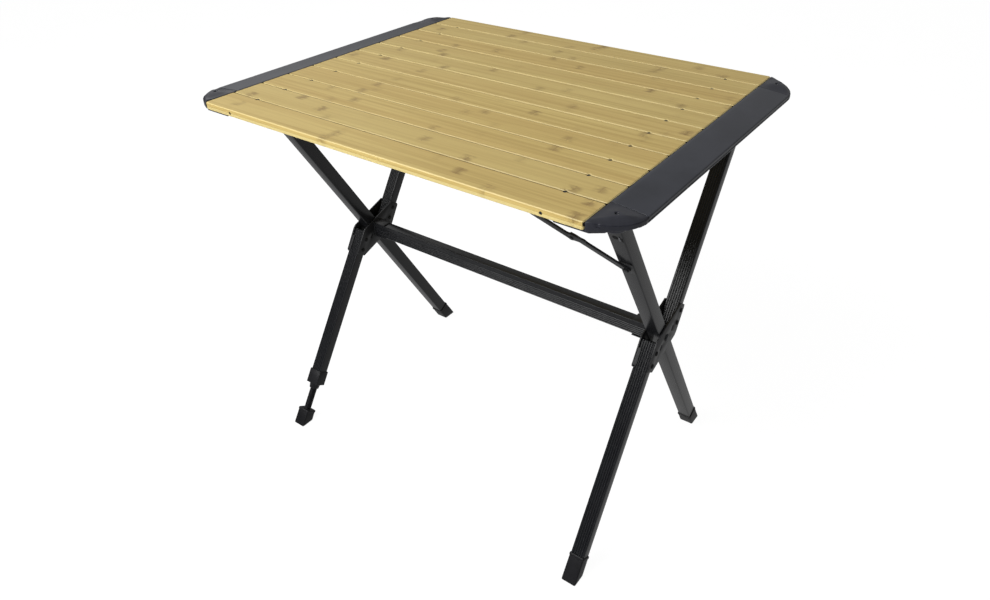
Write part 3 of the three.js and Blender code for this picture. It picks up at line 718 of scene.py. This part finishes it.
PLAIN_TUBE = rounded_rect(LEG_W, LEG_A_D, 1.9)
FLUTED_TUBE = fluted_rect(LEG_W, LEG_B_D, 1.7, -8.0, 4.0, 5, 2.6, 0.7)
FOOT_A_TOP = floor_at(LEAN_A, 0) + FOOT_LEN
FOOT_B_TOP = floor_at(LEAN_B, -HALF_OFFSET) + FOOT_LEN
COLLAR_RISE, PAD_RISE = 113, 28
COLLAR_TOP = floor_at(LEAN_B, -HALF_OFFSET) + COLLAR_RISE
PAD_TOP = floor_at(LEAN_B, -HALF_OFFSET) + PAD_RISE

for name, side in SIDES:
    tube = leg_tube(PLAIN_TUBE, side, 0, FOOT_A_TOP - 1, LEG_A_TOP)
    piece(f"long_leg_{name}", tube, LEG, "back_foot_legs", (f"leg_back_foot_{name}",), FRAME_A)
    shoe = foot(side, LEAN_A, 0, LEG_A_D, FOOT_A_TOP)
    piece(f"shoe_back_{name}", shoe, RUBBER, "back_foot_legs", (f"foot_back_{name}",), FRAME_A, 40)
    low_end = COLLAR_TOP if side < 0 else FOOT_B_TOP
    upper = leg_tube(FLUTED_TUBE, side, HALF_OFFSET, HALF_END, LEG_B_TOP)
    lower = leg_tube(FLUTED_TUBE, side, -HALF_OFFSET, low_end - 1, -HALF_END)
    piece(f"half_leg_upper_{name}", upper, LEG, "front_foot_legs", (f"leg_upper_{name}",), FRAME_B)
    piece(f"half_leg_lower_{name}", lower, LEG, "front_foot_legs", (f"leg_lower_{name}",), FRAME_B)
shoe = foot(1, LEAN_B, -HALF_OFFSET, LEG_B_D, FOOT_B_TOP)
piece("shoe_front_right", shoe, RUBBER, "front_foot_legs", ("foot_front_right",), FRAME_B, 40)


# ---- hubs: pressed plates with black rivets, slots filled with near-black painted shade, and a bent lip over the leg's front face ---
def slot_outline(y, z, half=3.0, radius=2.3):
    points = []
    for i in range(20):
        angle = (i + 0.5) * math.pi / 10
        shift = half if math.sin(angle) > 0 else -half
        points.append((y + radius * math.cos(angle), z + shift + radius * math.sin(angle)))
    return points


RIVETS = ((HALF_OFFSET, 28), (HALF_OFFSET, 50), (-HALF_OFFSET, -28), (-HALF_OFFSET, -50))
RIVET = [(-0.5, 4.1), (1.0, 4.1), (1.6, 3.4), (1.75, 2.2), (1.75, 0)]
for name, side in SIDES:
    for place, span, sign in (("outer", PLATE_OUT, 1), ("inner", PLATE_IN, -1)):
        softened(f"hub_plate_{place}_{name}", f"hub_plate_{place}_{name}_pressed", STEEL, 0.35)
        face = side * (span[1] if sign > 0 else span[0])
        outward = side * sign
        heads = []
        for y, z in RIVETS:
            stand = Matrix.Translation((face, y, z)) @ Matrix.Diagonal((outward, 1, 1, 1)) @ ALONG_X
            heads.append(moved(turned(RIVET, 20), stand))
        # painted shade: near-black fills sunk inside the plate's two slots, standing in for the dark
        # of the openings
        for y, z in ((11.5, 18), (-11.5, -18)):
            low, high = sorted((face - outward * 2.2, face - outward * 0.5))
            heads.append(moved(rounded_prism(slot_outline(y, z), low, high, 0.1, 1), ALONG_X))
        piece(f"hub_rivets_{place}_{name}", together(*heads), PIT, "front_foot_legs", (), FRAME_B, 40)
    edge = -PLATE_OUT[1] if side < 0 else PLATE_IN[0]
    lip = rounded_prism(rounded_rect(8.4, 2.0, 0.9), -57, -27, 0.4, 1)
    lip = moved(lip, Matrix.Translation((edge + 4.2, -HALF_OFFSET - LEG_B_D / 2 - 1.15, 0)))
    piece(f"hub_lip_{name}", lip, STEEL, "front_foot_legs", (), FRAME_B)


# ---- stretcher: grooved front, plain along its upper edge -------------------------------------------
ALONG_STRETCHER = Matrix(((0, 0, 1, 0), (0, 1, 0, STRETCH_Y), (1, 0, 0, STRETCH_Z), (0, 0, 0, 1)))
section = fluted_rect(STRETCH_H, STRETCH_D, 1.8, -10.6, 3.8, 5, 2.5, 0.7)
tube = rounded_prism(section, -STRETCH_END, STRETCH_END, 0.3, 1)
piece("stretcher_tube", tube, LEG, "front_foot_legs", ("stretcher",), ALONG_STRETCHER)

# ---- leg tops: hole and slit as near-black patches of painted shade, and a pressed tab, in the front face below the hinge ---
for name, side in SIDES:
    # hole and slit: thin near-black patches on the face, painted shade standing in for the openings
    for label, x, z, wide, high, proud, material in (
        ("hole", -0.8, 319.0, 9.0, 7.6, 0.15, PIT),
        ("tab", 6.0, 318.5, 2.8, 9.5, 0.9, TAB),
        ("slit", 9.6, 317.0, 2.4, 9.5, 0.15, PIT),
    ):
        mark = rounded_prism(rounded_rect(wide, high, min(wide, high) * 0.42), -proud, 0.3, 0.1, 1)
        place = Matrix.Translation((side * LEG_X + x, -LEG_A_D / 2, z)) @ ALONG_Y
        piece(f"leg_{label}_{name}", moved(mark, place), material, "back_foot_legs", (), FRAME_A)

# ---- remaining metal and plastic from the CAD, with its edges rounded -----------------------------
for node in ("hinge_bracket", "top_gusset", "stretcher_clip"):
    for name, side in SIDES:
        softened(f"{node}_{name}", f"{node}_{name}_pressed", STEEL, 0.35)
for name, side in SIDES:
    softened(f"bar_runner_{name}", f"runner_{name}", PLASTIC, 0.6)
    softened(f"hinge_pin_{name}", f"top_pin_{name}", PIN, 0.3)
    softened(f"pivot_pin_{name}", f"hub_pin_{name}", PIN, 0.3)
for node in ("stay_bracket", "stay_anchor", "stay_lower", "stay_upper"):
    softened(node, f"{node}_pressed", STEEL, 0.35)
for node in ("front_cross_bar", "back_cross_bar"):
    softened(node, f"{node}_tube", LEG, 0.2)
softened("levelling_collar", "collar_moulded", RUBBER, 0.3)
THREAD_TURNS, THREAD_PITCH, THREAD_ROOT, THREAD_CREST = 36, 2.4, 6.1, 6.95
thread = [(PAD_TOP - 1, 6.2)]
for turn in range(THREAD_TURNS):
    start = PAD_TOP + 1 + turn * THREAD_PITCH
    thread += [
        (start, THREAD_ROOT), (start + 0.7, THREAD_CREST), (start + 1.3, THREAD_CREST),
        (start + 2.0, THREAD_ROOT),
    ]
stud = moved(turned(thread, 24), Matrix.Translation((-LEG_X, -HALF_OFFSET, 0)))
block = foot(-1, LEAN_B, -HALF_OFFSET, LEG_B_D, PAD_TOP)
shape = together(block, stud)
piece("levelling_shoe", shape, RUBBER, "levelling_foot", ("levelling_foot",), FRAME_B, 40)


# ---- stage --------------------------------------------------------------------------------------
def studio_world():
    """A dim studio: soft light from above and behind, a pale floor, darkness in front."""
    world = bpy.data.worlds.new("studio")
    world.use_nodes = True
    tree = world.node_tree
    split = tree.nodes.new("ShaderNodeSeparateXYZ")
    tree.links.new(tree.nodes.new("ShaderNodeTexCoord").outputs["Generated"], split.inputs[0])
    total = None
    for terms in WORLD_GLOW:
        product = None
        for axis, low, high, dim, bright in terms:
            node = tree.nodes.new("ShaderNodeMapRange")
            node.interpolation_type = "SMOOTHSTEP"
            tree.links.new(split.outputs[axis], node.inputs[0])
            for socket, value in zip(node.inputs[1:], (low, high, dim, bright)):
                socket.default_value = value
            product = combined(tree, "MULTIPLY", product, node.outputs[0])
        total = combined(tree, "ADD", total, product)
    background = tree.nodes["Background"]
    background.inputs["Color"].default_value = (1, 1, 1, 1)
    tree.links.new(total, background.inputs["Strength"])
    bpy.context.scene.world = world


def combined(tree, operation, first, second):
    if first is None:
        return second
    node = tree.nodes.new("ShaderNodeMath")
    node.operation = operation
    tree.links.new(first, node.inputs[0])
    tree.links.new(second, node.inputs[1])
    return node.outputs[0]


# Each row is a product of ramps: (axis, from, to, value at from, value at to). The rows add up.
WORLD_GLOW = (
    ((2, 0.30, 0.95, 0.03, 0.50),),
    ((1, -0.1, 0.9, 0.0, 0.38), (2, -0.05, 0.20, 0.0, 1.0), (2, 0.30, 0.65, 1.0, 0.3)),
    ((2, -0.35, 0.0, 0.42, 0.0),),
)
make_camera()
studio_world()
area_light("key", (-1.0, -2.1, 2.8), (0, 0, 0.6), 2.4, 92)
area_light("front", (0.3, -2.6, 0.35), (0, 0, 0.6), 1.2, 40, False)
area_light("left", (-2.3, 0.9, 1.9), (0, 0, 0.5), 2.2, 6)
bpy.context.scene.view_settings.view_transform = "Standard"
ground = bpy.data.meshes.new("ground")
ground.from_pydata([(-14, -14, 0), (14, -14, 0), (14, 14, 0), (-14, 14, 0)], [], [(0, 1, 2, 3)])
ground.materials.append(pale_floor())
ground = bpy.data.objects.new("ground", ground)
ground.visible_diffuse = False
ground.visible_glossy = False
bpy.context.scene.collection.objects.link(ground)
